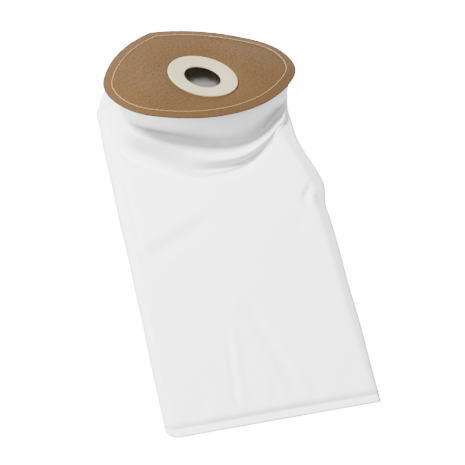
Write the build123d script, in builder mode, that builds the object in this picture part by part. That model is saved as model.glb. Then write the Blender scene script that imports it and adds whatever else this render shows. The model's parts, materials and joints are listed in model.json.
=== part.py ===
from build123d import *
from math import sin, cos, radians, sqrt
import os

# A dust extractor's filter bag: a gusseted fleece bag lying on its back, its mouth sewn to a
# tilted kraft board collar that carries a rubber inlet seal.
# Millimetres. The origin is the middle of the back panel's flat length, on the surface the bag lies on.
# X runs across the bag, Y from its welded end towards the collar, and Z up.

# Bag
bag_width = 205.0
back_length = 392.0          # welded end to the left ear of the mouth
body_length = 290.0          # welded end to where the yoke under the collar starts
body_height = 22.0           # at the start of the yoke
seam_width = 8.0             # ultrasonic weld across the closed end
seam_height = 4.4            # where the panels enter the weld
seam_edge = 1.6              # at the weld's outer edge
seam_corner = 7.5            # rounded corner of the weld, on the left
gusset_depth = 30.0
fleece_thickness = 0.6
liner_thickness = 0.4

# Yoke, the flattened part of the bag that runs under the collar
ear_height = 8.0
right_ear_inset = 20.0       # the right side is drawn in towards the collar
right_ear_shortfall = 12.0

# Collar board, symmetric about its own Y axis, with its origin at the centre of the inlet
collar_width = 227.5
base_depth = 64.5            # inlet centre to the long curved edge
apex_depth = 88.0            # inlet centre to the blunt point
base_radius = 165.0
end_radius = 45.5
flank_radius = 179.0
board_thickness = 1.2
backing_thickness = 0.8
backing_inset = 6.5

# Collar's pose on the bag
collar_x = 7.2
collar_y = 379.2             # inlet centre from the welded end
collar_tilt = 23.0
fall_heading = 43.0          # the way the collar slopes down, from +Y towards +X
collar_turn = 27.5           # about its own normal
edge_clearance = 1.2         # lowest edge of the board above the surface

# Mouth of the bag, sewn between the two boards
mouth_inset = 4.5
mouth_fleece = 0.5
mouth_liner = 0.3
fold_gap = 0.3               # mouth panels to the neck that hangs from them
layer_gap = 0.1              # fleece to the liner inside it, in the neck and the gussets

# Stitching through the boards
stitch_inset = 9.5
stitch_shift = 1.0           # the needle line lies nearer the blunt point
thread_width = 1.0
thread_height = 0.4

# Seal
bore_diameter = 38.0
seal_diameter = 72.0
seal_flange = 1.8            # rim of the ring above the board
seal_land = 5.0              # flat part of the rim
seal_dish = 1.4              # the face sinks by this towards the bore
seal_edge_radius = 0.8
lip_thickness = 2.0
lip_flare = 1.2              # rise of the cone behind the lip
seal_neck_diameter = 52.0
seal_neck_wall = 2.5
neck_clearance = 0.25
grip_diameter = 62.0
grip_thickness = 1.5

# Pose of the collar
middle_y = back_length / 2
tilt = radians(collar_tilt)
heading = radians(fall_heading)
normal = Vector(sin(tilt) * sin(heading), sin(tilt) * cos(heading), cos(tilt))
downhill = Vector(cos(tilt) * sin(heading), cos(tilt) * cos(heading), -sin(tilt))
across = (Vector(1, 0, 0) - normal * normal.X).normalized()
collar_across = across.rotate(Axis((0, 0, 0), normal), collar_turn)

# Centres of the outline's arcs
end_centre_x = collar_width / 2 - end_radius
base_centre = Vector(0, base_radius - base_depth)
end_centre = Vector(end_centre_x, base_centre.Y - sqrt((base_radius - end_radius) ** 2 - end_centre_x**2))
apex = Vector(0, apex_depth)
apex_to_end = end_centre - apex
flank_to_end = flank_radius - end_radius
along = (flank_radius**2 - flank_to_end**2 + apex_to_end.length**2) / (2 * apex_to_end.length)
aside = sqrt(flank_radius**2 - along**2)
flank_way = apex_to_end.normalized()
flank_centre = apex + flank_way * along + Vector(flank_way.Y, -flank_way.X) * aside


def arc_through(centre, radius, start, stop):
    """Draws the short arc about centre from start to stop."""
    middle = centre + ((start - centre) + (stop - centre)).normalized() * radius
    ThreePointArc(start, middle, stop)


def collar_outline(inset):
    """The collar's outline as a flat face, moved in by inset all round."""
    flank = flank_radius - inset
    base = base_radius - inset
    point = Vector(0, flank_centre.Y + sqrt(flank**2 - flank_centre.X**2))
    shoulder = flank_centre + (end_centre - flank_centre).normalized() * flank
    heel = base_centre + (end_centre - base_centre).normalized() * base
    foot = Vector(0, inset - base_depth)
    with BuildSketch() as outline:
        with BuildLine():
            arc_through(flank_centre, flank, point, shoulder)
            arc_through(end_centre, end_radius - inset, shoulder, heel)
            arc_through(base_centre, base, heel, foot)
            mirror(about=Plane.YZ)
        make_face()
    return outline.sketch


# The board is laid at its slope first, to find how high its centre stands
slope = Plane(origin=(collar_x, collar_y - middle_y, 0), x_dir=collar_across, z_dir=normal)
with BuildPart() as trial_board:
    with BuildSketch(slope):
        add(collar_outline(0))
    extrude(amount=-board_thickness)
collar_height = edge_clearance - trial_board.part.bounding_box().min.Z
collar_plane = Plane(
    origin=slope.origin + Vector(0, 0, collar_height), x_dir=collar_across, z_dir=normal
)


def collar_level(height, shift=0.0):
    """The collar's plane at a height above the board's face, moved towards the blunt point by shift."""
    origin = collar_plane.from_local_coords((0, shift, height))
    return Plane(origin=origin, x_dir=collar_across, z_dir=normal)


# Levels of the collar's layers, downwards from the board's face
fleece_level = -board_thickness
liner_level = fleece_level - mouth_fleece
backing_level = liner_level - mouth_liner
under_level = backing_level - backing_thickness
grip_level = under_level - grip_thickness
lip_level = seal_flange - seal_dish
lip_under = lip_level - lip_thickness
hole_radius = seal_neck_diameter / 2 + neck_clearance


def collar_layer(top, thickness, inset):
    """A sheet of the collar with the seal's hole in it."""
    with BuildPart() as layer:
        with BuildSketch(collar_level(top)):
            add(collar_outline(inset))
            Circle(hole_radius, mode=Mode.SUBTRACT)
        extrude(amount=-thickness)
    return layer


collar_top_board = collar_layer(0, board_thickness, 0)
collar_top_board.part.label = "collar_top_board"

mouth_fleece_panel = collar_layer(fleece_level, mouth_fleece, mouth_inset)
mouth_fleece_panel.part.label = "mouth_fleece_panel"

mouth_liner_panel = collar_layer(liner_level, mouth_liner, mouth_inset)
mouth_liner_panel.part.label = "mouth_liner_panel"

collar_backing_board = collar_layer(backing_level, backing_thickness, backing_inset)
collar_backing_board.part.label = "collar_backing_board"

# Seal, moulded in one piece and pushed through both boards, its lip sinking a little towards the bore
bore_radius = bore_diameter / 2
seal_radius = seal_diameter / 2
land_radius = seal_radius - seal_land
neck_hollow_radius = seal_neck_diameter / 2 - seal_neck_wall
with BuildPart() as seal_ring:
    with BuildSketch(Plane(origin=collar_plane.origin, x_dir=collar_across, z_dir=-collar_plane.y_dir)):
        with BuildLine():
            Polyline(
                (bore_radius, lip_level),
                (land_radius, seal_flange),
                (seal_radius, seal_flange),
                (seal_radius, 0),
                (seal_neck_diameter / 2, 0),
                (seal_neck_diameter / 2, under_level),
                (grip_diameter / 2, under_level),
                (grip_diameter / 2, grip_level),
                (neck_hollow_radius, grip_level),
                (neck_hollow_radius, lip_under - lip_flare),
                (bore_radius, lip_under),
                close=True,
            )
        face = make_face()
        rim = face.vertices().sort_by(Axis.X)[-2:].sort_by(Axis.Y)[-1]
        fillet(rim, seal_edge_radius)
    revolve(axis=Axis(collar_plane.origin, normal))
seal_ring.part.label = "seal_ring"


def thread_loop(level, rise):
    """A closed run of thread lying on one face of the boards."""
    with BuildPart() as loop:
        with BuildSketch(collar_level(level, stitch_shift)):
            add(collar_outline(stitch_inset - thread_width / 2))
            add(collar_outline(stitch_inset + thread_width / 2), mode=Mode.SUBTRACT)
        extrude(amount=rise)
    return loop


needle_thread = thread_loop(0, thread_height)
needle_thread.part.label = "needle_thread"

looper_thread = thread_loop(under_level, -thread_height)
looper_thread.part.label = "looper_thread"

# Stations along the bag, from its middle
end_y = -middle_y
weld_y = end_y + seam_width
yoke_y = end_y + body_length
ear_y = end_y + back_length
half_width = bag_width / 2
floor_level = fleece_thickness                       # top of the back panel
liner_floor = fleece_thickness + liner_thickness
far_below = 2 * (collar_height + body_height)
far_across = bag_width + collar_width


def side_prism(points):
    """A solid with a side view, wider than the bag and the collar, to trim others with."""
    with BuildPart() as prism:
        with BuildSketch(Plane.YZ):
            with BuildLine():
                Polyline(*points, close=True)
            make_face()
        extrude(amount=far_across, both=True)
    return prism.part


def yoke_space(inset, overrun):
    """The yoke's plan, moved in by inset, from the bag's body to its ears."""
    slope_in = right_ear_inset / (back_length - right_ear_shortfall - body_length)
    right_y = ear_y - right_ear_shortfall - inset
    start_y = yoke_y - overrun
    start_x = half_width - inset
    with BuildPart() as space:
        with BuildSketch(Plane.XY.offset(-far_below)):
            with BuildLine():
                Polyline(
                    (-start_x, start_y),
                    (start_x + slope_in * overrun, start_y),
                    (start_x - slope_in * (right_y - yoke_y), right_y),
                    (-start_x, ear_y - inset),
                    close=True,
                )
            make_face()
        extrude(amount=2 * far_below)
        roof = body_height - inset
        add(
            side_prism(
                [
                    (start_y, -far_below),
                    (start_y, roof + overrun * (body_height - ear_height) / (back_length - body_length)),
                    (ear_y, ear_height - inset),
                    (ear_y, -far_below),
                ]
            ),
            mode=Mode.INTERSECT,
        )
    return space.part


def mouth_space(inset, low, high=None, overrun=0.0):
    """What the neck and the yoke enclose, moved in by inset, between two heights.

    The neck hangs straight down from the collar. Its open ends, at the collar and at the bag's body,
    are run past by overrun.
    """
    mouth_level = collar_level(fleece_level - mouth_fleece - mouth_liner - fold_gap)
    top = mouth_level.origin + Vector(0, 0, overrun)
    ceiling = high if high is not None else far_below
    with BuildPart() as space:
        with BuildSketch(Plane(origin=top, x_dir=collar_across, z_dir=normal)):
            add(collar_outline(mouth_inset + inset))
        extrude(amount=far_below, dir=(0, 0, -1))
        add(yoke_space(inset, overrun))
        add(
            side_prism(
                [
                    (end_y, low),
                    (end_y, ceiling),
                    (2 * ear_y, ceiling),
                    (2 * ear_y, low),
                ]
            ),
            mode=Mode.INTERSECT,
        )
    return space.part


neck_outside = mouth_space(0, floor_level)
neck_hollow = mouth_space(fleece_thickness, floor_level, overrun=1.0)
with BuildPart() as neck_fleece:
    add(neck_outside)
    add(neck_hollow, mode=Mode.SUBTRACT)
neck_fleece.part.label = "neck_fleece"

liner_outside = mouth_space(fleece_thickness + layer_gap, liner_floor)
liner_hollow = mouth_space(fleece_thickness + layer_gap + liner_thickness, liner_floor, overrun=1.0)
with BuildPart() as neck_liner:
    add(liner_outside)
    add(liner_hollow, mode=Mode.SUBTRACT)
neck_liner.part.label = "neck_liner"

# Back of the bag, flat on the surface from the weld to under the collar
back_footprint = mouth_space(0, 0, floor_level)
with BuildPart() as back_panel:
    with BuildSketch():
        with Locations((0, (weld_y + yoke_y) / 2)):
            Rectangle(bag_width, yoke_y - weld_y)
    extrude(amount=fleece_thickness)
    add(back_footprint)
back_panel.part.label = "back_panel"

liner_footprint = mouth_space(fleece_thickness + layer_gap, floor_level, liner_floor)
with BuildPart() as back_liner:
    with BuildSketch(Plane.XY.offset(fleece_thickness)):
        with Locations((0, (weld_y + yoke_y) / 2)):
            Rectangle(bag_width, yoke_y - weld_y)
    extrude(amount=liner_thickness)
    add(liner_footprint)
back_liner.part.label = "back_liner"


def front_sheet(drop, thickness):
    """A sheet over the front of the bag, its top face a drop below the bag's outer face."""
    with BuildPart() as sheet:
        with BuildSketch(Plane.YZ):
            with BuildLine():
                Polyline(
                    (weld_y, seam_height - drop),
                    (yoke_y, body_height - drop),
                    (yoke_y, body_height - drop - thickness),
                    (weld_y, seam_height - drop - thickness),
                    close=True,
                )
            make_face()
        extrude(amount=half_width, both=True)
    return sheet


front_panel = front_sheet(0, fleece_thickness)
front_panel.part.label = "front_panel"

front_liner = front_sheet(fleece_thickness, liner_thickness)
front_liner.part.label = "front_liner"


def gusset_section(rise, depth, thickness, height):
    """Corners of a folded gusset at one station, from the back panel's side to the front's."""
    crease = half_width - depth
    return [
        (half_width, rise),
        (half_width, rise + thickness),
        (crease, height / 2),
        (half_width, height - rise - thickness),
        (half_width, height - rise),
        (crease - thickness, height / 2),
    ]


def gusset(side, rise, depth, thickness, corners):
    """A side gusset or one leaf of it, folded inwards with its crease at a depth from the bag's edge.

    Rise is the height of its cavity face above the panel's outer face at the bag's edge, and corners
    names those of its section that the piece has.
    """
    with BuildPart() as fold:
        for station, height in ((weld_y, seam_height), (yoke_y, body_height)):
            section = gusset_section(rise, depth, thickness, height)
            with BuildSketch(Plane(origin=(0, station, 0), x_dir=(side, 0, 0), z_dir=(0, -side, 0))):
                with BuildLine():
                    Polyline(*[section[corner] for corner in corners], close=True)
                make_face()
        loft(ruled=True)
    return fold


back_leaf = (0, 1, 2, 5)
front_leaf = (2, 3, 4, 5)
both_leaves = (0, 1, 2, 3, 4, 5)
gusset_rise = fleece_thickness + 2 * liner_thickness + layer_gap
gusset_liner_rise = fleece_thickness + liner_thickness
liner_depth = gusset_depth + fleece_thickness + layer_gap

gusset_left_back = gusset(-1, gusset_rise, gusset_depth, fleece_thickness, back_leaf)
gusset_left_back.part.label = "gusset_left_back"

gusset_left_front = gusset(-1, gusset_rise, gusset_depth, fleece_thickness, front_leaf)
gusset_left_front.part.label = "gusset_left_front"

gusset_right_back = gusset(1, gusset_rise, gusset_depth, fleece_thickness, back_leaf)
gusset_right_back.part.label = "gusset_right_back"

gusset_right_front = gusset(1, gusset_rise, gusset_depth, fleece_thickness, front_leaf)
gusset_right_front.part.label = "gusset_right_front"

gusset_liner_left = gusset(-1, gusset_liner_rise, liner_depth, liner_thickness, both_leaves)
gusset_liner_left.part.label = "gusset_liner_left"

gusset_liner_right = gusset(1, gusset_liner_rise, liner_depth, liner_thickness, both_leaves)
gusset_liner_right.part.label = "gusset_liner_right"

# All layers run out into one flat weld at the closed end
with BuildPart() as bottom_seam:
    with BuildSketch(Plane.YZ):
        with BuildLine():
            Polyline(
                (end_y, 0),
                (end_y, seam_edge),
                (weld_y, seam_height),
                (weld_y, 0),
                close=True,
            )
        make_face()
    extrude(amount=half_width, both=True)
    upright = bottom_seam.edges().filter_by(Axis.Z).group_by(Axis.Y)[0]
    fillet(upright.sort_by(Axis.X)[0], seam_corner)
bottom_seam.part.label = "bottom_seam"

os.makedirs("parts", exist_ok=True)
export_step(collar_top_board.part, "parts/collar_top_board.step")
export_step(collar_backing_board.part, "parts/collar_backing_board.step")
export_step(mouth_fleece_panel.part, "parts/mouth_fleece_panel.step")
export_step(mouth_liner_panel.part, "parts/mouth_liner_panel.step")
export_step(seal_ring.part, "parts/seal_ring.step")
export_step(needle_thread.part, "parts/needle_thread.step")
export_step(looper_thread.part, "parts/looper_thread.step")
export_step(neck_fleece.part, "parts/neck_fleece.step")
export_step(neck_liner.part, "parts/neck_liner.step")
export_step(back_panel.part, "parts/back_panel.step")
export_step(back_liner.part, "parts/back_liner.step")
export_step(front_panel.part, "parts/front_panel.step")
export_step(front_liner.part, "parts/front_liner.step")
export_step(gusset_left_back.part, "parts/gusset_left_back.step")
export_step(gusset_left_front.part, "parts/gusset_left_front.step")
export_step(gusset_right_back.part, "parts/gusset_right_back.step")
export_step(gusset_right_front.part, "parts/gusset_right_front.step")
export_step(gusset_liner_left.part, "parts/gusset_liner_left.step")
export_step(gusset_liner_right.part, "parts/gusset_liner_right.step")
export_step(bottom_seam.part, "parts/bottom_seam.step")

# Where the mounts and the hinge lie, for the record
board_foot = collar_plane.from_local_coords((0, 0, -board_thickness))
foot_distance = (board_foot.Z - edge_clearance) / sin(tilt)
hinge = board_foot + downhill * foot_distance
print("collar centre", tuple(round(v, 4) for v in collar_plane.origin))
print("collar normal", tuple(round(v, 6) for v in normal))
land_middle = collar_plane.from_local_coords((seal_radius - seal_land / 2, 0, seal_flange))
print("seal face", tuple(round(v, 4) for v in land_middle))
print("bore middle", tuple(round(v, 4) for v in collar_level((lip_level + lip_under) / 2).origin))
print("bore length", round(lip_level - lip_under, 3))
print("hinge", tuple(round(v, 4) for v in hinge))
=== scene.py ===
"""A dust extractor's filter bag: fleece bag, kraft board collar, rubber seal and stitching."""

import json
from math import atan2, cos, exp, pi, radians, sin, sqrt

import bpy
from bpy.props import FloatProperty, FloatVectorProperty, IntProperty, PointerProperty
from mathutils import Matrix, Vector, noise


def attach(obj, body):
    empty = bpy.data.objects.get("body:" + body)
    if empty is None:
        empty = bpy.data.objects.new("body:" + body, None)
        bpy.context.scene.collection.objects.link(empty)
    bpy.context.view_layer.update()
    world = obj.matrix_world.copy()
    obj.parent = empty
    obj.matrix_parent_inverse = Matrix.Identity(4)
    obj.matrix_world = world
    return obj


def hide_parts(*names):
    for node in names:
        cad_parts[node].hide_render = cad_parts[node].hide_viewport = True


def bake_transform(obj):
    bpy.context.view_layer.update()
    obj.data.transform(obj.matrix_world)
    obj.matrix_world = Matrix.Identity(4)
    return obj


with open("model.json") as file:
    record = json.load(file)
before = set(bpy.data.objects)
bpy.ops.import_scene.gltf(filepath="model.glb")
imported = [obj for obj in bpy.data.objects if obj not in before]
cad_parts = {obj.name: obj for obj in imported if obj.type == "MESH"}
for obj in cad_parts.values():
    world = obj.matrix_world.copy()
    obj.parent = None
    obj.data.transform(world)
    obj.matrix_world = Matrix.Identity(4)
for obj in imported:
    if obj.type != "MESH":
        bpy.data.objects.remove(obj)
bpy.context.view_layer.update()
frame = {"nodes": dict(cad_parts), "record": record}

bl_info = {
    "name": "Dust Extractor Filter Bag",
    "version": (1, 0, 0),
    "blender": (4, 5, 0),
    "location": "View3D > Sidebar > Filter Bag",
    "description": "Builds a fleece filter bag with its sewn board collar and rubber inlet seal",
    "category": "Object",
}

MM = 0.001
INLET = next(mount for mount in frame["record"]["mounts"] if mount["name"] == "inlet_bore")


# ---- settings


def number(name, description, default, **more):
    """A number that a user can change."""
    return FloatProperty(name=name, description=description, default=default, **more)


def length(name, description, default):
    """A size in metres that a user can change."""
    return number(name, description, default, unit="LENGTH", precision=5)


def angle(name, description, degrees):
    """An angle that a user can change."""
    return number(name, description, radians(degrees), subtype="ANGLE")


def colour(name, description, default):
    """A linear colour that a user can change."""
    return FloatVectorProperty(
        name=name, description=description, default=default, subtype="COLOR", size=3,
        min=0.0, max=1.0,
    )


class BagSizes(bpy.types.PropertyGroup):
    """The fleece bag, lying on its back panel."""

    width: length("Width", "Across the flat bag", 205 * MM)
    gusset: length("Gusset", "Depth of each side fold", 30 * MM)
    back_length: length("Back length", "Welded end to the left ear", 392 * MM)
    weld: length("Weld", "Width of the welded end", 8 * MM)
    weld_height: length("Weld height", "Thickness of the pressed weld", 1.8 * MM)
    foot_height: length("Foot height", "Height of the bag where it leaves the weld", 5.6 * MM)
    head_height: length("Head height", "Height of the bag under the neck folds", 21 * MM)
    right_end: length("Right end", "Height of the bag where its right side turns up", 9 * MM)
    fold_start: length("Fold start", "Welded end to the lowest neck fold", 276.5 * MM)
    fold_bow: number("Fold bow", "How strongly the lowest neck fold curves up to the sides", 6.0)
    corner: length("Corner", "Radius of the rounded corner of the weld", 12 * MM)
    fabric: length("Fabric", "Thickness of the fleece", 0.5 * MM)
    lining: length("Lining", "Thickness of the liner", 0.3 * MM)
    drawn_in: length("Drawn in", "How far the right side narrows towards the collar", 13 * MM)


class CollarSizes(bpy.types.PropertyGroup):
    """The board collar, in its own plane with the inlet's centre at the origin."""

    width: length("Width", "Round end to round end", 227.5 * MM)
    base_depth: length("Base depth", "Inlet centre to the long curved edge", 64.5 * MM)
    apex_depth: length("Apex depth", "Inlet centre to the blunt point", 88 * MM)
    base_radius: length("Base radius", "Radius of the long curved edge", 165 * MM)
    end_radius: length("End radius", "Radius of the two round ends", 45.5 * MM)
    flank_radius: length("Flank radius", "Radius of the two flanks", 179 * MM)
    board: length("Board", "Thickness of the top board", 1.2 * MM)
    backing: length("Backing", "Thickness of the board underneath", 0.8 * MM)
    sandwich: length("Sandwich", "Fabric clamped between the boards", 0.8 * MM)
    mouth_inset: length("Mouth inset", "Fabric's fold inside the top board's edge", 4.5 * MM)
    worn_edge: length("Worn edge", "Roundness of the boards' cut edges", 0.2 * MM)
    turn: angle("Turn", "About the collar's own normal", 27.5)


class SealSizes(bpy.types.PropertyGroup):
    """The rubber inlet seal."""

    bore: length("Bore", "Radius of the inlet", 19 * MM)
    rim: length("Rim", "Outer radius of the ring", 36 * MM)
    rise: length("Rise", "How far the rim stands above the board", 1.8 * MM)
    land: length("Land", "Width of the rim's flat", 5 * MM)
    dish: length("Dish", "How far the face sinks towards the bore", 1.4 * MM)
    lip: length("Lip", "Thickness of the lip at the bore", 2 * MM)
    neck: length("Neck", "Outer radius through the boards", 26 * MM)
    hollow: length("Hollow", "Inner radius behind the lip", 23.5 * MM)
    grip: length("Grip", "Outer radius under the boards", 31 * MM)
    grip_rise: length("Grip rise", "Thickness under the boards", 1.5 * MM)


class StitchSizes(bpy.types.PropertyGroup):
    """The rows of stitches through the boards."""

    inset: length("Inset", "Row inside the board's edge", 9.5 * MM)
    shift: length("Shift", "Row shifted towards the blunt point", 1.0 * MM)
    pitch: length("Pitch", "Needle hole to needle hole", 5.0 * MM)
    thread: length("Thread", "Thickness of the thread", 0.55 * MM)
    overlap: IntProperty(name="Overlap", description="Stitches sewn twice at the join", default=3)
    join: number("Join", "Where the row starts, as a share of its run", 0.36)


class Finishes(bpy.types.PropertyGroup):
    """The colours of the materials."""

    kraft: colour("Kraft", "Board", (0.0465, 0.0208, 0.0022))
    kraft_dark: colour("Kraft dark", "Board's darker fibres", (0.0265, 0.0112, 0.0010))
    fleece: colour("Fleece", "Outer fabric", (0.70, 0.71, 0.705))
    fleece_dark: colour("Fleece dark", "Thinner places of the outer fabric", (0.64, 0.65, 0.645))
    liner: colour("Liner", "Inner fabric", (0.66, 0.64, 0.60))
    rubber: colour("Rubber", "Seal", (0.29, 0.25, 0.148))
    rubber_dark: colour("Rubber dark", "Seal's mould marks", (0.22, 0.185, 0.10))
    thread: colour("Thread", "Stitches", (0.27, 0.16, 0.07))


class StageSettings(bpy.types.PropertyGroup):
    """Camera, floor and lights."""

    azimuth: angle("Azimuth", "Camera's heading", -11.62)
    elevation: angle("Elevation", "Camera above the floor", 55.61)
    distance: length("Distance", "Camera to the point it looks at", 2.5)
    lens: number("Lens", "Focal length in millimetres", 196.28)
    target: FloatVectorProperty(
        name="Target", description="Point the camera looks at", subtype="TRANSLATION",
        default=(4.68 * MM, 21.61 * MM, 0.0),
    )
    sky: number("Sky", "Strength of the light from all round", 0.4)
    key: number("Key", "Power of the main light in watts", 215)
    fill: number("Fill", "Power of the second light in watts", 26)
    glow: number("Glow", "How white the floor is to the camera", 14.0)


def settings():
    return bpy.context.scene.filter_bag


# ---- shared geometry


def ease(value, low, high):
    """0 below low, 1 above high, and smooth between."""
    share = min(1.0, max(0.0, (value - low) / (high - low)))
    return share * share * (3 - 2 * share)


def mix(a, b, share):
    return a + (b - a) * share


def bell(value, middle, spread):
    """1 at the middle, falling to nothing about two spreads away."""
    return exp(-(((value - middle) / spread) ** 2))


def through(stations, value):
    """A smooth run through (place, height) stations."""
    if value <= stations[0][0]:
        return stations[0][1]
    if value >= stations[-1][0]:
        return stations[-1][1]
    spot = next(i for i in range(1, len(stations)) if value <= stations[i][0])

    def slope(i):
        before, after = stations[max(i - 1, 0)], stations[min(i + 1, len(stations) - 1)]
        return (after[1] - before[1]) / (after[0] - before[0])

    (x0, y0), (x1, y1) = stations[spot - 1], stations[spot]
    run = x1 - x0
    s = (value - x0) / run
    m0, m1 = slope(spot - 1) * run, slope(spot) * run
    return (
        (2 * s**3 - 3 * s**2 + 1) * y0
        + (s**3 - 2 * s**2 + s) * m0
        + (3 * s**2 - 2 * s**3) * y1
        + (s**3 - s**2) * m1
    )


class CollarFrame:
    """The collar's plane and outline, placed by the inlet that the frame's record states."""

    def __init__(self):
        sizes, seal = settings().collar, settings().seal
        self.sizes = sizes
        self.normal = Vector(INLET["axis"]).normalized()
        lip_middle = seal.rise - seal.dish - seal.lip / 2
        self.origin = Vector(INLET["pos_m"]) - self.normal * lip_middle
        self.under = -(sizes.board + sizes.sandwich + sizes.backing)  # the backing board's face
        level = (Vector((1, 0, 0)) - self.normal * self.normal.x).normalized()
        self.across = Matrix.Rotation(sizes.turn, 3, self.normal) @ level
        self.along = self.normal.cross(self.across)
        reach = sizes.base_radius - sizes.end_radius
        end_x = sizes.width / 2 - sizes.end_radius
        self.base = Vector((0, sizes.base_radius - sizes.base_depth))
        self.end = Vector((end_x, self.base.y - sqrt(reach**2 - end_x**2)))
        apex = Vector((0, sizes.apex_depth))
        span = self.end - apex
        inner = sizes.flank_radius - sizes.end_radius
        run = (sizes.flank_radius**2 - inner**2 + span.length**2) / (2 * span.length)
        aside = sqrt(sizes.flank_radius**2 - run**2)
        way = span.normalized()
        self.flank = apex + way * run + Vector((way.y, -way.x)) * aside

    def arcs(self, inset):
        """The outline's right half from its foot to the blunt point: centre, radius, two angles."""
        sizes = self.sizes
        base, end, flank = (
            radius - inset for radius in (sizes.base_radius, sizes.end_radius, sizes.flank_radius)
        )
        heel = atan2(self.end.y - self.base.y, self.end.x)
        shoulder = atan2(self.end.y - self.flank.y, self.end.x - self.flank.x)
        apex = atan2(sqrt(flank**2 - self.flank.x**2), -self.flank.x)
        return [
            (self.base, base, -pi / 2, heel),
            (self.end, end, heel, shoulder),
            (self.flank, flank, shoulder, apex),
        ]

    def girth(self, inset):
        return 2 * sum(radius * (stop - start) for _, radius, start, stop in self.arcs(inset))

    def outline(self, share, inset):
        """A point of the outline, share of the way round from the foot towards the right."""
        arcs = self.arcs(inset)
        half = sum(radius * (stop - start) for _, radius, start, stop in arcs)
        run = (share % 1.0) * 2 * half
        side = 1
        if run > half:
            run, side = 2 * half - run, -1
        for centre, radius, start, stop in arcs[:2]:
            if run <= radius * (stop - start):
                break
            run -= radius * (stop - start)
        else:
            centre, radius, start, stop = arcs[2]
        turned = start + run / radius
        return Vector((side * (centre.x + radius * cos(turned)), centre.y + radius * sin(turned)))

    def place(self, x, y, height):
        """A point of the collar's own frame, in the row frame."""
        return self.origin + self.across * x + self.along * y + self.normal * height

    def edge(self, share, inset, height):
        at = self.outline(share, inset)
        return self.place(at.x, at.y, height)

    def matrix(self):
        """Turns a piece modelled flat about the origin into the collar's own place."""
        turn = Matrix((self.across, self.along, self.normal)).transposed().to_4x4()
        return Matrix.Translation(self.origin) @ turn


# ---- modelling helpers


def deselect():
    if bpy.context.object and bpy.context.object.mode != "OBJECT":
        bpy.ops.object.mode_set(mode="OBJECT")
    bpy.ops.object.select_all(action="DESELECT")


def only(piece):
    deselect()
    piece.select_set(True)
    bpy.context.view_layer.objects.active = piece


def named(name):
    """Names the piece just added and its mesh."""
    piece = bpy.context.object
    piece.name = piece.data.name = name
    return piece


def edit(piece):
    only(piece)
    bpy.ops.object.mode_set(mode="EDIT")
    bpy.ops.mesh.select_all(action="SELECT")


def finished_edit():
    """Turns every face outward and leaves the mesh."""
    bpy.ops.mesh.select_all(action="SELECT")
    bpy.ops.mesh.normals_make_consistent(inside=False)
    bpy.ops.object.mode_set(mode="OBJECT")


def thicken(piece, thickness):
    """Gives a single skin its thickness, half of it to either side."""
    only(piece)
    bpy.ops.object.modifier_add(type="SOLIDIFY")
    solidify = piece.modifiers[-1]
    solidify.thickness, solidify.offset = thickness, 0.0
    bpy.ops.object.modifier_apply(modifier=solidify.name)


def smooth(piece, degrees):
    only(piece)
    bpy.ops.object.shade_smooth_by_angle(angle=radians(degrees))


def settle(piece):
    """Applies the piece's place to its mesh, which leaves its origin at the frame's."""
    only(piece)
    bpy.ops.object.transform_apply(location=True, rotation=True, scale=True)


def dress(piece, finish):
    piece.data.materials.clear()
    piece.data.materials.append(finish)


# ---- the fleece bag


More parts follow.
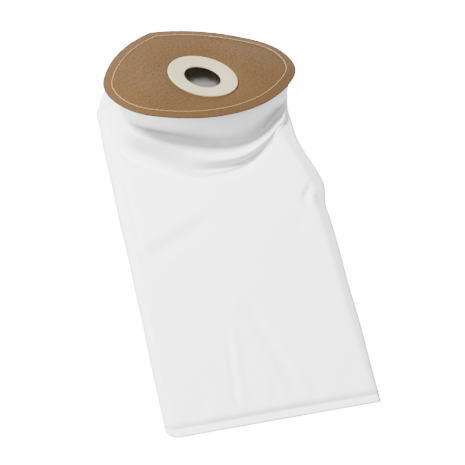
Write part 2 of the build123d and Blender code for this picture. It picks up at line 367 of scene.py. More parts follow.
class BagShape:
    """Where each point of the bag's fabric lies.

    A column runs the length of the bag, and a row goes round it: front panel from left to right,
    right gusset in and out, back panel from right to left, left gusset in and out.
    Lengths along the bag count from its welded end. Runs over the front panel count from 0 at its
    left side to 1 at its right.
    """

    PANELS = (
        ("front", 92), ("right_in", 14), ("right_out", 14),
        ("back", 72), ("left_in", 14), ("left_out", 14),
    )
    FOOT = (0.0, 0.12, 0.3, 0.5, 0.7, 0.86, 0.94, 1.0, 1.06, 1.16, 1.35, 1.6, 2.0)  # in weld widths
    BODY_ROWS, NECK_ROWS, TURNED_IN = 86, 84, 6

    LEFT_FOLD, RIGHT_FOLD = 386 * MM, 345 * MM  # where the two sides turn up to the collar
    LEFT_END = 15 * MM  # height of the bag where its left side turns up
    LEVELLING = (296 * MM, 380 * MM)  # the run over which the bag comes to its end heights
    DRAWING_IN = (254 * MM, 322 * MM)  # the run over which its right side narrows
    BULGE, NOTCH = (250 * MM, 12 * MM), (226 * MM, 11 * MM)  # on the right side: middle, spread
    BULGE_DEPTH = 1.6 * MM
    FRONT_CREASE, BACK_CREASE = (0.36, 0.78), (0.08, 0.22)  # shares of the height: open, pressed
    PANEL, CROWN = 0.90, 0.10  # the front panel and its rise in the middle, as shares of the height
    RIPPLES = ((0.9 * MM, 20, 13, 3.0), (0.5 * MM, 55, 32, 9.0))  # rise, waves across, along, place
    DENT = (5.0, 3.2)  # depth in millimetres of the dent along the lowest fold, left and right
    DENT_SPREAD = 7 * MM

    # Faint folds pressed into the front panel: from x, y to x, y, rise and spread, in millimetres
    CREASES = (
        (-98, 188, -22, 222, -2.2, 8), (-96, 204, -12, 240, 1.6, 9),
        (2, 119, 29, 19, -1.8, 6), (-26, 92, -31, 18, -1.6, 2.2),
        (-19, 96, -25, 20, 1.3, 3.0), (-33, 48, -31, 14, -1.2, 1.8),
        (-20, 120, 40, 215, 0.9, 14), (-92, 345, -90, 190, -3.0, 5.0),
        (62, 306, 90, 303, -2.0, 6), (79, 230, 89, 246, -4.2, 2.6),
        (88, 245, 98, 222, -2.2, 3.0), (86, 224, 91, 238, 1.0, 3.0),
        (60, 190, 84, 226, -0.8, 7), (-62, 30, -58, 10, -0.6, 2.2),
        (6, 32, 2, 10, -0.7, 2.0), (42, 30, 46, 10, -0.6, 2.4),
        (74, 28, 70, 10, -0.6, 2.2), (14, 26, 18, 10, 0.5, 2.4),
    )

    LEAN = 0.685  # the front folds are set out on lines that lean back by this as they rise
    TWIST = -0.05  # the mouth is turned on the bag, as a share of its run
    TUCKED_TO = 16 * MM  # how far inside the board's edge the fabric ends
    CLEAR = 0.2 * MM  # between the neck and the boards it meets

    # Folds over the front of the neck: where along the drape each lies, then heights in millimetres
    TUCK = ((0.0, 0.34), (0.2, 0.26), (0.36, 0.13), (0.5, 0.12), (0.7, 0.09), (1.0, 0.08))
    RIDGE = ((0.0, 0.55), (0.2, 0.5), (0.36, 0.42), (0.5, 0.28), (0.7, 0.20), (1.0, 0.18))
    VALLEY = ((0.0, 0.74), (0.2, 0.72), (0.36, 0.66), (0.5, 0.54), (0.7, 0.43), (1.0, 0.38))
    RIDGE_RISE = ((0.0, 46), (0.2, 43), (0.36, 37), (0.5, 32), (0.7, 27), (0.9, 18), (1.0, 15))
    VALLEY_RISE = ((0.0, 48), (0.2, 43), (0.36, 36.5), (0.5, 27), (0.7, 13), (0.9, 5), (1.0, 6))
    TUCK_RISE = ((0.0, 2.0), (0.25, 2.2), (0.5, 2.4), (0.62, 1.8), (0.8, 0.9), (1.0, 0.3))

    def __init__(self, depth):
        self.bag = settings().bag
        self.collar = CollarFrame()
        self.depth = depth  # inside the outer fabric's surface
        self.half = self.bag.width / 2
        self.columns = sum(count for _, count in self.PANELS)
        self.girth = 2 * self.bag.width + 4 * self.bag.gusset
        self.rows = self.BODY_ROWS + self.NECK_ROWS

    def station(self, column):
        """(panel, share across it from its first crease) of a column."""
        for panel, count in self.PANELS:
            if column < count:
                return panel, column / count
            column -= count

    def around(self, column):
        """Distance round the tube from the middle of the front panel, as a share of the girth."""
        panel, share = self.station(column)
        run = -self.half
        for name, _ in self.PANELS:
            size = self.bag.width if name in ("front", "back") else self.bag.gusset
            if name == panel:
                return (run + share * size) / self.girth
            run += size

    def height(self, y, right):
        """Height of the bag's right or left side at a distance from its welded end."""
        bag = self.bag
        swell = max(0.0, (y - bag.weld) / (bag.fold_start - bag.weld))
        tall = mix(bag.foot_height, bag.head_height, min(1.0, swell) ** 0.9)
        tall = mix(tall, bag.right_end if right else self.LEFT_END, ease(y, *self.LEVELLING))
        return mix(bag.weld_height, tall, ease(y, bag.weld * 0.9, bag.weld * 1.5))

    def edge(self, y, right):
        """Distance of the bag's edge from its middle line."""
        wave = 0.5 * sin(y / (37 * MM)) + 0.3 * sin(y / (13 * MM) + 1.0)
        wave = wave * ease(y, 10 * MM, 60 * MM) * MM
        if not right:
            return self.half - 0.5 * MM + 0.6 * wave
        pull = self.bag.drawn_in * ease(y, *self.DRAWING_IN)
        bulge = self.BULGE_DEPTH * bell(y, *self.BULGE)
        notch = self.BULGE_DEPTH * bell(y, *self.NOTCH)
        return self.half - pull + bulge - notch + 0.8 * wave

    def creases(self, x, y):
        """Height of the faint folds at a point of the front panel."""
        at = Vector((x / MM, y / MM))
        total = 0.0
        for start_x, start_y, stop_x, stop_y, rise, spread in self.CREASES:
            start = Vector((start_x, start_y))
            run = Vector((stop_x, stop_y)) - start
            share = (at - start).dot(run) / run.length_squared
            off = (at - start - run * share).length
            ends = ease(share, -0.15, 0.2) * (1 - ease(share, 0.8, 1.15))
            total += rise * MM * ends * bell(off, 0, spread)
        return total

    def section(self, column, y):
        """(x, z) of a column where the bag's body is y from its welded end."""
        panel, share = self.station(column)
        right, left = self.edge(y, True), self.edge(y, False)
        right_tall, left_tall = self.height(y, True), self.height(y, False)
        pressed = 1 - ease(y, self.bag.weld * 0.9, self.bag.weld * 1.6)
        front_crease = mix(*self.FRONT_CREASE, pressed)
        back_crease = mix(*self.BACK_CREASE, pressed)
        if panel == "front":
            front_crease *= mix(left_tall, right_tall, share)
            tall = mix(right_tall, left_tall, 1 - ease(share, 0.1, 0.6))
            x = mix(-left, right, share)
            roll = mix(5 * MM, 9 * MM, ease(y, 20 * MM, 250 * MM))
            if x > 0:
                roll += 3 * MM * ease(y, 10 * MM, 60 * MM) + 4 * MM * ease(y, 225 * MM, 262 * MM)
            shoulder = 1 - max(0.0, 1 - min(x + left, right - x) / roll) ** 1.15
            crown = self.CROWN * tall * (1 - (2 * share - 1) ** 2)
            z = mix(front_crease, self.PANEL * tall, shoulder) + crown * shoulder
            soft = (1 - pressed) * shoulder
            z += self.creases(x, y) * soft * ease(y, 8 * MM, 30 * MM)
            for rise, across, along, place in self.RIPPLES:
                z += rise * soft * noise.noise(Vector((x * across, y * along, place)))
            return x, z - self.depth
        if panel == "back":
            back_crease *= mix(right_tall, left_tall, share)
            x = mix(right, -left, share)
            roll = mix(3 * MM, 8 * MM, ease(y, 60 * MM, 250 * MM))
            turn = max(0.0, 1 - min(x + left, right - x) / roll)
            lift = 1 - sqrt(max(0.0, 1 - turn**2))
            floor = self.bag.fabric / 2
            return x, floor + (back_crease - floor) * lift + self.depth
        on_right = panel.startswith("right")
        side, edge, tall = (1, right, right_tall) if on_right else (-1, left, left_tall)
        front_crease, back_crease = front_crease * tall, back_crease * tall
        inward = share if panel.endswith("in") else 1 - share
        start = front_crease if panel in ("right_in", "left_out") else back_crease
        z = mix(start, (front_crease + back_crease) / 2, inward)
        return side * (edge - inward * self.bag.gusset - self.depth), z

    def fold_line(self, column):
        """Where a column leaves the bag's body and enters the folds of the neck."""
        panel, share = self.station(column)
        if panel == "front":
            x = mix(-self.half, self.half, share)
            bow = self.bag.fold_start + self.bag.fold_bow * (x - 2 * MM) ** 2
            from_left = mix(bow, self.LEFT_FOLD, 1 - ease(share, 0, 0.09))
            return mix(from_left, self.RIGHT_FOLD, ease(share, 0.94, 1))
        if panel == "back":
            return mix(self.RIGHT_FOLD, self.LEFT_FOLD, share)
        return self.RIGHT_FOLD if panel.startswith("right") else self.LEFT_FOLD

    def body(self, column, row):
        """A point of the bag's body, with row 0 at the welded end."""
        fold = self.fold_line(column)
        foot = [share * self.bag.weld for share in self.FOOT]
        if row < len(foot):
            y = foot[row]
        else:
            y = mix(foot[-1], fold, (row - len(foot) + 1) / (self.BODY_ROWS - len(foot)))
        x, z = self.section(column, y)
        panel, share = self.station(column)
        if panel == "front":
            ends = ease(share, 0.02, 0.1) * (1 - ease(share, 0.8, 0.97))
            dent = mix(*self.DENT, ease(share, 0.2, 0.45)) * MM
            z -= dent * ends * bell(y, fold, self.DENT_SPREAD)
        return Vector((x, self.rounded_corner(x, y) - self.bag.back_length / 2, z))

    def rounded_corner(self, x, y):
        """The weld's left corner is cut round, so the fabric there starts further up."""
        radius = self.bag.corner
        from_left = x + self.half
        if from_left >= radius or y >= radius * 2:
            return y
        start = radius - sqrt(max(0.0, radius**2 - (radius - from_left) ** 2))
        return start + y * (1 - start / (2 * radius))

    def mouth(self, column):
        """(share of the collar's outline, top of the neck) for a column."""
        sizes = self.collar.sizes
        around = self.around(column) + self.TWIST
        level = -(sizes.board + sizes.sandwich) - self.CLEAR
        inset = sizes.mouth_inset + self.CLEAR + self.depth
        return around, self.collar.edge(around, inset, level)

    def neck(self, column, row):
        """A point of the neck, from the fold line to the collar and in between its boards."""
        sizes = self.collar.sizes
        around, top = self.mouth(column)
        flight = self.NECK_ROWS - self.TURNED_IN
        if row >= flight:
            outer = sizes.mouth_inset + 0.3 * MM + self.depth
            inner = mix(outer, self.TUCKED_TO, (row - flight) / (self.TURNED_IN - 1))
            level = -sizes.board - 0.5 * self.bag.fabric - 0.05 * MM - 0.5 * self.depth
            return self.collar.edge(around, inner, level)
        share_up = (row + 1) / flight
        panel, share = self.station(column)
        point = self.swept(column, top, share_up)
        if panel == "front":
            draped = self.draped(column, share, top, share_up)
            point = draped.lerp(point, max(1 - ease(share, 0.0, 0.14), ease(share, 0.95, 1.0)))
        point.z = max(point.z, self.bag.fabric / 2 + self.depth)
        return point

    def swept(self, column, top, t):
        """The sides and the back: the fabric runs on from the body, then turns up to the collar."""
        base = self.body(column, self.BODY_ROWS - 1)
        heading = (base - self.body(column, self.BODY_ROWS - 3)).normalized()
        panel, share = self.station(column)
        onward = 18 * MM
        under_top = top - Vector((0, 0, 0.55 * top.z))
        if panel == "back":
            flat = Vector((top.x - base.x, top.y - base.y, 0)).length
            onward = mix(onward, 0.8 * flat, ease(share, 0.0, 0.3))
            onward = mix(onward, 30 * MM, ease(share, 0.75, 1.0))
        elif panel.startswith("left") or (panel == "front" and share < 0.5):
            onward = 9 * MM
            under_top = top + Vector((15, 26, -30)) * MM
        else:
            under_top += Vector((5, -3, 0)) * MM
        past_base = base + heading * onward
        s = 1 - t
        return base * s**3 + past_base * (3 * s * s * t) + under_top * (3 * s * t * t) + top * t**3

    def draped(self, column, share, top, t):
        """The front of the neck, in folds that hang like a smile from one side to the other."""
        base = self.body(column, self.BODY_ROWS - 1)
        tuck, ridge, valley = (through(run, share) for run in (self.TUCK, self.RIDGE, self.VALLEY))
        ridge_z, valley_z, tuck_rise = (
            through(run, share) * MM for run in (self.RIDGE_RISE, self.VALLEY_RISE, self.TUCK_RISE)
        )
        z = through(
            (
                (0.0, base.z), (0.45 * tuck, base.z + tuck_rise),
                (tuck, mix(base.z, ridge_z, 0.28)), (ridge, ridge_z), (valley, valley_z),
                (mix(valley, 1, 0.5), mix(valley_z, top.z, 0.56)), (1.0, top.z),
            ),
            t,
        )
        first, last = base.y + self.LEAN * base.z, top.y + self.LEAN * top.z
        return Vector((mix(base.x, top.x, ease(t, 0, 1)), mix(first, last, t) - self.LEAN * z, z))

    def point(self, column, row):
        if row < self.BODY_ROWS:
            return self.body(column, row)
        return self.neck(column, row - self.BODY_ROWS)


def laid_tube(name, shape):
    """A grid laid round a bag's shape and closed, with its UV map in metres of cloth."""
    deselect()
    bpy.ops.mesh.primitive_grid_add(
        x_subdivisions=shape.columns, y_subdivisions=shape.rows - 1, size=1
    )
    piece = named(name)
    across = shape.columns + 1
    runs = []
    for vertex in piece.data.vertices:
        row, column = divmod(vertex.index, across)
        vertex.co = shape.point(column % shape.columns, row)
        below = piece.data.vertices[vertex.index - across].co if row else vertex.co
        runs.append((runs[vertex.index - across] if row else 0.0) + (vertex.co - below).length)
    cloth = piece.data.uv_layers.active.data
    for loop in piece.data.loops:
        column = loop.vertex_index % across
        cloth[loop.index].uv = (column / shape.columns * shape.girth, runs[loop.vertex_index])
    edit(piece)
    bpy.ops.mesh.remove_doubles(threshold=1e-6)
    finished_edit()
    return piece


def laid_cloth(name, depth, thickness, finish):
    """One skin of the bag, at a depth inside its outer fabric."""
    piece = laid_tube(name, BagShape(depth))
    thicken(piece, thickness)
    smooth(piece, 180)
    dress(piece, finish)
    return piece


def hang(piece):
    """Applies the cloth's place to its mesh."""
    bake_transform(piece)


class FILTERBAG_OT_bag(bpy.types.Operator):
    """Lays the fleece bag, from its weld to the fold between the collar's boards"""

    bl_idname = "filter_bag.bag"
    bl_label = "Fleece bag"

    def execute(self, context):
        sizes = settings().bag
        piece = laid_cloth("bag_fleece", 0.0, sizes.fabric, fleece_material())
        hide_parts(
            "front_panel", "back_panel", "bottom_seam", "neck_fleece", "mouth_fleece_panel",
            "gusset_left_back", "gusset_left_front", "gusset_right_back", "gusset_right_front",
        )
        hang(piece)
        return {"FINISHED"}


class FILTERBAG_OT_liner(bpy.types.Operator):
    """Lays the thin liner inside the fleece"""

    bl_idname = "filter_bag.liner"
    bl_label = "Liner"

    def execute(self, context):
        sizes = settings().bag
        depth = (sizes.fabric + sizes.lining) / 2 + 0.1 * MM
        piece = laid_cloth("bag_liner", depth, sizes.lining, liner_material())
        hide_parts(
            "front_liner", "back_liner", "gusset_liner_left", "gusset_liner_right",
            "neck_liner", "mouth_liner_panel",
        )
        hang(piece)
        return {"FINISHED"}


# ---- the collar


class FILTERBAG_OT_boards(bpy.types.Operator):
    """Takes the collar's two boards from the frame and rounds their cut edges a little"""

    bl_idname = "filter_bag.boards"
    bl_label = "Collar boards"

    def execute(self, context):
        worn = settings().collar.worn_edge
        for name, node in (
            ("collar_board", "collar_top_board"),
            ("backing_board", "collar_backing_board"),
        ):
            piece = copied_node(name, node)
            edit(piece)
            bpy.ops.mesh.remove_doubles(threshold=1e-6)
            bpy.ops.mesh.normals_make_consistent(inside=False)
            bpy.ops.mesh.dissolve_limited(angle_limit=radians(0.5))
            bpy.ops.mesh.select_all(action="DESELECT")
            bpy.ops.mesh.select_mode(type="EDGE")
            bpy.ops.mesh.edges_select_sharp(sharpness=radians(60))
            bpy.ops.mesh.bevel(offset=worn, segments=2, affect="EDGES")
            bpy.ops.mesh.select_all(action="SELECT")
            bpy.ops.mesh.quads_convert_to_tris()
            bpy.ops.object.mode_set(mode="OBJECT")
            smooth(piece, 40)
            dress(piece, kraft_material())
            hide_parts(node)
            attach(piece, "collar")
        return {"FINISHED"}


def copied_node(name, node):
    """A free copy of a node of the frame, with its own mesh."""
    only(frame["nodes"][node])
    bpy.ops.object.duplicate()
    piece = named(name)
    piece.parent = None
    for key in list(piece.keys()):
        del piece[key]
    return piece


# ---- the seal


def turned_ring(name, profile, sides):
    """Turns a closed profile of (radius, height) points, ring by ring, into a closed solid."""
    deselect()
    radius, height = profile[0]
    bpy.ops.mesh.primitive_circle_add(vertices=sides, radius=radius, location=(0, 0, height))
    piece = named(name)
    settle(piece)
    edit(piece)
    for (was, low), (radius, height) in zip(profile, profile[1:]):
        bpy.ops.mesh.extrude_region_move(TRANSFORM_OT_translate={"value": (0, 0, height - low)})
        share = radius / was
        bpy.ops.transform.resize(value=(share, share, 1), center_override=(0, 0, height))
    bpy.ops.mesh.select_all(action="DESELECT")
    bpy.ops.mesh.select_mode(type="EDGE")
    bpy.ops.mesh.select_non_manifold()
    bpy.ops.mesh.bridge_edge_loops()
    finished_edit()
    return piece


def seal_profile(seal, under):
    """The seal's section: a dished face with faint ridges, a rounded rim, neck, grip and lip."""
    lip, foot = seal.rise - seal.dish, under - seal.grip_rise
    flat = seal.rim - seal.land
    points = [
        (seal.bore, lip - 0.55 * MM), (seal.bore + 0.12 * MM, lip - 0.2 * MM),
        (seal.bore + 0.45 * MM, lip),
    ]
    ridges = 7
    for ridge in range(ridges):
        for part, rise in ((0.25, 0.0), (0.5, 0.09 * MM), (0.75, 0.0)):
            share = (ridge + part) / ridges
            radius = mix(seal.bore + 0.6 * MM, flat, share)
            points.append((radius, mix(lip, seal.rise, share) + rise))
    edge = 0.9 * MM
    points.append((flat + 0.4 * MM, seal.rise))
    for step in range(6):
        turn = step / 5 * pi / 2
        points.append((seal.rim - edge + edge * sin(turn), seal.rise - edge + edge * cos(turn)))
    points += [
        (seal.rim, 0.15 * MM), (seal.rim - 0.2 * MM, 0.0), (seal.neck, 0.0), (seal.neck, under),
        (seal.grip - 0.2 * MM, under), (seal.grip, under - 0.2 * MM), (seal.grip, foot + 0.4 * MM),
        (seal.grip - 0.4 * MM, foot), (seal.hollow, foot), (seal.hollow, lip - seal.lip - 1.2 * MM),
        (seal.bore + 0.4 * MM, lip - seal.lip), (seal.bore, lip - seal.lip + 0.4 * MM),
    ]
    return points


class FILTERBAG_OT_seal(bpy.types.Operator):
    """Turns the rubber seal and sets it in the boards"""

    bl_idname = "filter_bag.seal"
    bl_label = "Inlet seal"

    def execute(self, context):
        collar = CollarFrame()
        piece = turned_ring("inlet_seal", seal_profile(settings().seal, collar.under), 128)
        smooth(piece, 50)
        piece.matrix_world = collar.matrix()
        settle(piece)
        dress(piece, rubber_material())
        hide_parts("seal_ring")
        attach(piece, "collar")
        return {"FINISHED"}


# ---- the stitching


def stitch_shape(name, pitch, thread):
    """One stitch along X: up out of its needle hole, on to the next hole and down again."""
    path = (  # along the pitch, up in threads, girth
        (-0.47, -0.42, 0.8), (-0.455, 0.05, 0.9), (-0.40, 0.36, 0.96), (-0.2, 0.47, 1.0),
        (0.2, 0.47, 1.0), (0.40, 0.36, 0.96), (0.455, 0.05, 0.9), (0.47, -0.42, 0.8),
    )
    deselect()
    bpy.ops.mesh.primitive_circle_add(
        vertices=8, radius=thread / 2, fill_type="NGON", rotation=(0, pi / 2, 0),
        location=(path[0][0] * pitch, 0, path[0][1] * thread),
    )
    piece = named(name)
    settle(piece)
    edit(piece)
    for (was_x, was_z, was_girth), (x, z, girth) in zip(path, path[1:]):
        step = Vector(((x - was_x) * pitch, 0, (z - was_z) * thread))
        bpy.ops.mesh.extrude_region_move(TRANSFORM_OT_translate={"value": step})
        share = girth / was_girth
        centre = (x * pitch, 0, z * thread)
        bpy.ops.transform.resize(value=(share, share, share), center_override=centre)
    finished_edit()
    return piece


def sewn_row(name, height, flip, stray):
    """A closed row of stitches, copied round the board from one, with its ends sewn over."""
    sizes, collar = settings().stitch, CollarFrame()
    total = collar.girth(sizes.inset)
    count = round(total / sizes.pitch)
    single = stitch_shape(name, total / count, sizes.thread)
    copies = []
    for index in range(count + sizes.overlap):
        share = sizes.join + (index + 0.5) / count
        beside, above = (0.95 * MM, 0.25 * MM) if index >= count else (0.0, 0.0)
        inset = sizes.inset + (0.12 * MM * sin(index * 2.4) + beside)
        before, after = (collar.outline(share + step / count, inset) for step in (-0.5, 0.5))
        way = after - before
        middle = (before + after) / 2
        turn = atan2(way.y, way.x) + (stray if index % 2 else -stray)
        matrix = (
            collar.matrix()
            @ Matrix.Translation((middle.x, middle.y + sizes.shift, height + flip * above))
            @ Matrix.Rotation(turn, 4, "Z")
            @ Matrix.Diagonal((1, 1, flip, 1))
        )
        stitch = single.copy()
        stitch.data = single.data.copy()
        stitch.data.transform(matrix)
        bpy.context.scene.collection.objects.link(stitch)
        copies.append(stitch)
    bpy.data.objects.remove(single)
    deselect()
    for stitch in copies:
        stitch.select_set(True)
    bpy.context.view_layer.objects.active = copies[0]
    bpy.ops.object.join()
    piece = named(name)
    edit(piece)
    finished_edit()
    smooth(piece, 60)
    return piece


class FILTERBAG_OT_stitches(bpy.types.Operator):
    """Sews the needle row on the board and the looper row under it"""

    bl_idname = "filter_bag.stitches"
    bl_label = "Stitching"

    def execute(self, context):
        for name, node, height, flip, stray in (
            ("needle_stitches", "needle_thread", 0.0, 1, radians(2.0)),
            ("looper_stitches", "looper_thread", CollarFrame().under, -1, radians(6.0)),
        ):
            piece = sewn_row(name, height, flip, stray)
            dress(piece, thread_material())
            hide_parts(node)
            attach(piece, "collar")
        return {"FINISHED"}


# ---- materials


class Wiring:
    """Adds nodes to a tree and joins them up."""

    def __init__(self, tree):
        self.tree = tree

    def feed(self, node, inputs):
        """Joins each input to the socket given for it, or sets it to the value."""
        for key, value in inputs.items():
            if isinstance(value, bpy.types.NodeSocket):
                self.tree.links.new(value, node.inputs[key])
            else:
                node.inputs[key].default_value = value

    def add(self, kind, inputs=(), **values):
        node = self.tree.nodes.new("ShaderNode" + kind)
        for key, value in values.items():
            setattr(node, key, value)
        self.feed(node, dict(inputs))
        return node

    def maths(self, operation, *values):
        return self.add("Math", dict(enumerate(values)), operation=operation).outputs[0]

    def times(self, a, b):
        return self.maths("MULTIPLY", a, b)

    def waves(self, run, period):
        return self.maths("SINE", self.times(run, 2 * pi / period))

    def dot(self, a, b):
        node = self.add("VectorMath", {0: a, 1: b}, operation="DOT_PRODUCT")
        return node.outputs["Value"]

    def blend(self, factor, a, b):
        node = self.add("Mix", {0: factor, 6: a, 7: b}, data_type="RGBA")
        return node.outputs[2]

    def ramp(self, factor, low, high, left=0.0, right=1.0):
        """Runs from the grey left, where the factor is low, to the grey right, where it is high."""
        node = self.add("ValToRGB", {"Fac": factor})
        for stop, position, grey in zip(node.color_ramp.elements, (low, high), (left, right)):
            stop.position = position
            stop.color = (grey, grey, grey, 1)
        return node.outputs["Color"]

    def grain(self, vector, scale, detail, **more):
        inputs = {"Vector": vector, "Scale": scale, "Detail": detail, **more}
        return self.add("TexNoise", inputs).outputs["Fac"]

    def web(self, vector, fineness, clouds):
        """(fibres, thin places) of a laid web."""
        inputs = {"Vector": vector, "Fineness": fineness, "Clouds": clouds}
        node = self.add("Group", inputs, node_tree=fibre_group())
        return node.outputs["Fibres"], node.outputs["Thin"]

    def bump(self, shader, height, strength, distance=0.1 * MM):
        inputs = {"Strength": strength, "Distance": distance, "Height": height}
        self.feed(shader, {"Normal": self.add("Bump", inputs).outputs["Normal"]})


def rgba(values, shade=1.0):
    return (*(min(1.0, value * shade) for value in values), 1.0)


def new_group(name, inputs, outputs):
    """A shader node group with named sockets: (name, kind) in and out."""
    tree = bpy.data.node_groups.new(name, "ShaderNodeTree")
    for way, sockets in (("INPUT", inputs), ("OUTPUT", outputs)):
        for label, kind in sockets:
            tree.interface.new_socket(name=label, in_out=way, socket_type=kind)
    wiring = Wiring(tree)
    given, out = (tree.nodes.new(kind) for kind in ("NodeGroupInput", "NodeGroupOutput"))
    return tree, wiring, given.outputs, out


def fibre_group():
    """Long fine fibres laid every way, with soft clouds where the web is thinner."""
    name = "laid_fibres"
    if name in bpy.data.node_groups:
        return bpy.data.node_groups[name]
    amount = "NodeSocketFloat"
    tree, wiring, given, out = new_group(
        name,
        (("Vector", "NodeSocketVector"), ("Fineness", amount), ("Clouds", amount)),
        (("Fibres", amount), ("Thin", amount)),
    )
    layers = []
    for turned, stretch in ((0.35, 0.14), (1.45, 0.12), (2.5, 0.16)):
        inputs = {"Rotation": (0.2, 0.1, turned), "Scale": (1, stretch, 1)}
        place = wiring.add("Mapping", {"Vector": given["Vector"], **inputs}).outputs[0]
        layers.append(wiring.grain(place, given["Fineness"], 3.0, Roughness=0.6, Distortion=0.4))
    first, second, third = layers
    strongest = wiring.maths("MAXIMUM", wiring.maths("MAXIMUM", first, second), third)
    clouds = wiring.grain(given["Vector"], given["Clouds"], 4.0, Roughness=0.55)
    fibres, thin = wiring.ramp(strongest, 0.45, 0.78), wiring.ramp(clouds, 0.34, 0.7)
    wiring.feed(out, {"Fibres": fibres, "Thin": thin})
    return tree


def material(name):
    """Makes a material on first use and hands out the same one later."""

    def kept(maker):
        def give():
            known = bpy.data.materials.get(name)
            if known:
                return known
            made = bpy.data.materials.new(name)
            made.use_nodes = True
            tree = made.node_tree
            maker(Wiring(tree), tree.nodes["Principled BSDF"], settings().finishes)
            return made

        return give

    return kept


@material("spunbond_fleece")
def fleece_material(wiring, shader, finishes):
    """Spunbond fleece: soft white web of fine fibres, point bonded in a fine diamond pattern."""
    cloth = wiring.add("UVMap").outputs["UV"]
    fibres, thin = wiring.web(cloth, 1500.0, 95.0)
    turned = wiring.add(
        "Mapping", {"Vector": cloth, "Rotation": (0, 0, pi / 4), "Scale": (1, 1, 0)}
    )
    dots = wiring.add(
        "TexVoronoi", {"Vector": turned.outputs[0], "Scale": 620.0, "Randomness": 0.0},
        voronoi_dimensions="2D",
    )
    bonded = wiring.ramp(dots.outputs["Distance"], 0.14, 0.3, 1.0, 0.0)
    tint = wiring.blend(wiring.times(thin, 0.55), rgba(finishes.fleece), rgba(finishes.fleece_dark))
    tint = wiring.blend(wiring.times(bonded, 0.16), tint, rgba(finishes.fleece_dark, 0.94))
    tint = wiring.blend(wiring.times(fibres, 0.25), tint, rgba(finishes.fleece, 1.06))
    wiring.feed(shader, {
        "Base Color": tint,
        "Roughness": wiring.ramp(thin, 0.0, 1.0, 0.72, 0.9),
        "Specular IOR Level": 0.25,
        "Sheen Weight": 0.12,
        "Sheen Roughness": 0.5,
    })
    raised = wiring.maths("SUBTRACT", wiring.times(fibres, 0.35), bonded)
    wiring.bump(shader, raised, 0.35, 0.12 * MM)


@material("filter_web")
def liner_material(wiring, shader, finishes):
    """The inner filter web, a little greyer and closer than the fleece."""
    cloth = wiring.add("UVMap").outputs["UV"]
    fibres, thin = wiring.web(cloth, 2100.0, 60.0)
    tint = wiring.blend(thin, rgba(finishes.liner), rgba(finishes.liner, 0.86))
    tint = wiring.blend(wiring.times(fibres, 0.3), tint, rgba(finishes.liner, 1.2))
    wiring.feed(shader, {"Base Color": tint, "Roughness": 0.9})
    wiring.bump(shader, fibres, 0.3)


def collar_coordinates(wiring):
    """Object coordinates from the inlet's centre, in the collar's plane: whole, x, y, z."""
    collar = CollarFrame()
    place = wiring.add("TexCoord").outputs["Object"]
    moved = wiring.add("VectorMath", {0: place, 1: collar.origin}, operation="SUBTRACT")
    x, y, z = (
        wiring.dot(moved.outputs[0], way) for way in (collar.across, collar.along, collar.normal)
    )
    return wiring.add("CombineXYZ", {"X": x, "Y": y, "Z": z}).outputs[0], x, y, z


@material("brown_kraft")
def kraft_material(wiring, shader, finishes):
    """Brown kraft board: mottled, with long fibres and dark flecks, its plies showing where cut."""
    kraft, dark = finishes.kraft, finishes.kraft_dark
    place, _, _, level = collar_coordinates(wiring)
    fibres, thin = wiring.web(place, 1300.0, 420.0)
    tint = wiring.blend(thin, rgba(kraft), rgba(dark))
    tint = wiring.blend(wiring.times(fibres, 0.42), tint, rgba(kraft, 1.35))
    broad = wiring.ramp(wiring.grain(place, 34.0, 3.0), 0.35, 0.75, 0.0, 0.3)
    tint = wiring.blend(broad, tint, rgba(kraft, 1.25))
    flecks = wiring.add("TexVoronoi", {"Vector": place, "Scale": 420.0, "Randomness": 1.0})
    specks = wiring.ramp(flecks.outputs["Distance"], 0.05, 0.16, 0.55, 0.0)
    tint = wiring.blend(specks, tint, rgba(dark, 0.7))
    facing = wiring.add("TexCoord").outputs["Normal"]
    facing = wiring.maths("ABSOLUTE", wiring.dot(facing, CollarFrame().normal))
    cut = wiring.ramp(facing, 0.3, 0.8, 1.0, 0.0)
    plies = wiring.maths("MULTIPLY_ADD", wiring.waves(level, 0.4 * MM), 0.5, 0.5)
    tint = wiring.blend(cut, tint, wiring.blend(plies, rgba(dark, 0.85), rgba(kraft)))
    wiring.feed(shader, {
        "Base Color": tint,
        "Roughness": wiring.ramp(thin, 0.0, 1.0, 0.66, 0.86),
        "Specular IOR Level": 0.3,
    })
    wiring.bump(shader, wiring.maths("ADD", fibres, thin), 0.3, 0.12 * MM)


@material("cream_rubber")
def rubber_material(wiring, shader, finishes):
    """Matte cream rubber with faint rings from its mould."""
    place, x, y, _ = collar_coordinates(wiring)
    out = wiring.maths("SQRT", wiring.maths("ADD", wiring.times(x, x), wiring.times(y, y)))
    uneven = wiring.grain(place, 160.0, 3.0)
    turns = wiring.maths("ADD", wiring.times(out, 2 * pi / (2.4 * MM)), wiring.times(uneven, 3.0))
    rings = wiring.ramp(wiring.maths("SINE", turns), 0.1, 1.0)
    tint = wiring.blend(wiring.times(rings, 0.6), rgba(finishes.rubber), rgba(finishes.rubber_dark))
    pale = wiring.ramp(uneven, 0.4, 0.75, 0.0, 0.35)
    tint = wiring.blend(pale, tint, rgba(finishes.rubber, 1.1))
    dull = wiring.ramp(uneven, 0.2, 0.8, 0.5, 0.68)
    wiring.feed(shader, {"Base Color": tint, "Roughness": dull})
    fine = wiring.grain(place, 1400.0, 4.0)
    raised = wiring.maths("ADD", wiring.times(rings, 0.5), wiring.times(fine, 0.4))
    wiring.bump(shader, raised, 0.25)


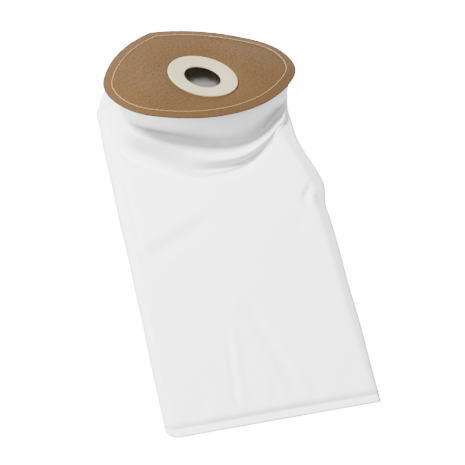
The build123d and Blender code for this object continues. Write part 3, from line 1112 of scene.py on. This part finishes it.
@material("twisted_thread")
def thread_material(wiring, shader, finishes):
    """Pale cotton thread, its twist showing as slanted plies, with painted shade between the plies
    and a painted highlight on their crowns.
    """
    place, x, y, _ = collar_coordinates(wiring)
    plies = wiring.waves(wiring.maths("ADD", x, wiring.times(y, 0.8)), 0.45 * MM)
    fuzz = wiring.grain(place, 2500.0, 3.0)
    # darker and lighter copies of the thread's colour, in step with the plies' bump: painted shade
    # between the plies and a painted highlight on their crowns
    painted_ply_shade_and_highlight = rgba(finishes.thread, 0.8), rgba(finishes.thread, 1.1)
    tint = wiring.blend(wiring.ramp(plies, 0.2, 1.0), *painted_ply_shade_and_highlight)
    tint = wiring.blend(wiring.times(fuzz, 0.3), tint, rgba(finishes.thread, 1.2))
    wiring.feed(shader, {"Base Color": tint, "Roughness": 0.7})
    wiring.bump(shader, wiring.maths("ADD", plies, fuzz), 0.4)


@material("floor_paper")
def studio_floor_material(wiring, shader, finishes):
    """White paper that glows to the camera only, so that it lights nothing from below."""
    seen = wiring.add("LightPath").outputs["Is Camera Ray"]
    wiring.feed(shader, {
        "Base Color": (0.95, 0.95, 0.95, 1),
        "Roughness": 0.95,
        "Specular IOR Level": 0.05,
        "Emission Color": (1, 1, 1, 1),
        "Emission Strength": wiring.times(seen, settings().stage.glow),
    })


# ---- the stage


class FILTERBAG_OT_stage(bpy.types.Operator):
    """Sets up the camera, the floor and the lights"""

    bl_idname = "filter_bag.stage"
    bl_label = "Stage"

    def execute(self, context):
        stage = settings().stage
        make_camera(stage)
        make_floor()
        make_lights(stage)
        return {"FINISHED"}


def make_camera(stage):
    level = cos(stage.elevation)
    back = Vector(
        (sin(stage.azimuth) * level, -cos(stage.azimuth) * level, sin(stage.elevation))
    )
    deselect()
    bpy.ops.object.camera_add(location=Vector(stage.target) + back * stage.distance)
    camera = bpy.context.object
    camera.name = "camera"
    camera.rotation_mode = "QUATERNION"
    camera.rotation_quaternion = (-back).to_track_quat("-Z", "Y")
    camera.data.lens = stage.lens
    camera.data.sensor_width = 36
    camera.data.clip_start, camera.data.clip_end = 0.05, 30
    bpy.context.scene.camera = camera


def make_floor():
    deselect()
    bpy.ops.mesh.primitive_plane_add(size=8, location=(0, 0, 0))
    piece = named("studio_floor")
    piece.data.materials.append(studio_floor_material())


def make_lights(stage):
    world = bpy.data.worlds.new("studio_world")
    world.use_nodes = True
    background = world.node_tree.nodes["Background"]
    background.inputs["Color"].default_value = (1, 1, 1, 1)
    background.inputs["Strength"].default_value = stage.sky
    bpy.context.scene.world = world
    middle = Vector((0, 0.05, 0))
    for name, place, power in (
        ("key_light", (-0.8, 0.5, 1.6), stage.key),
        ("fill_light", (-0.25, -0.4, 1.9), stage.fill),
    ):
        deselect()
        bpy.ops.object.light_add(type="AREA", location=place)
        lamp = bpy.context.object
        lamp.name = name
        lamp.data.shape = "DISK"
        lamp.data.size = 0.5
        lamp.data.energy = power
        lamp.rotation_euler = (middle - lamp.location).to_track_quat("-Z", "Y").to_euler()


# ---- the add-on


class FilterBagSettings(bpy.types.PropertyGroup):
    """All the sizes and colours of the filter bag."""

    bag: PointerProperty(type=BagSizes)
    collar: PointerProperty(type=CollarSizes)
    seal: PointerProperty(type=SealSizes)
    stitch: PointerProperty(type=StitchSizes)
    finishes: PointerProperty(type=Finishes)
    stage: PointerProperty(type=StageSettings)


STEPS = (
    FILTERBAG_OT_stage, FILTERBAG_OT_bag, FILTERBAG_OT_liner,
    FILTERBAG_OT_boards, FILTERBAG_OT_seal, FILTERBAG_OT_stitches,
)


class FILTERBAG_PT_panel(bpy.types.Panel):
    """Lists the steps and the sizes of the filter bag"""

    bl_label = "Filter Bag"
    bl_idname = "FILTERBAG_PT_panel"
    bl_space_type = "VIEW_3D"
    bl_region_type = "UI"
    bl_category = "Filter Bag"

    def draw(self, context):
        for step in STEPS:
            self.layout.operator(step.bl_idname)
        for group in FilterBagSettings.__annotations__:
            values = getattr(settings(), group)
            box = self.layout.box()
            box.label(text=group.capitalize())
            for key in values.__annotations__:
                box.prop(values, key)


CLASSES = (
    BagSizes, CollarSizes, SealSizes, StitchSizes, Finishes, StageSettings, FilterBagSettings,
    *STEPS, FILTERBAG_PT_panel,
)


def register():
    for each in CLASSES:
        bpy.utils.register_class(each)
    bpy.types.Scene.filter_bag = PointerProperty(type=FilterBagSettings)


def unregister():
    del bpy.types.Scene.filter_bag
    for each in reversed(CLASSES):
        bpy.utils.unregister_class(each)


def main():
    register()
    for step in STEPS:
        group, name = step.bl_idname.split(".")
        getattr(getattr(bpy.ops, group), name)()


if __name__ == "__main__":
    main()
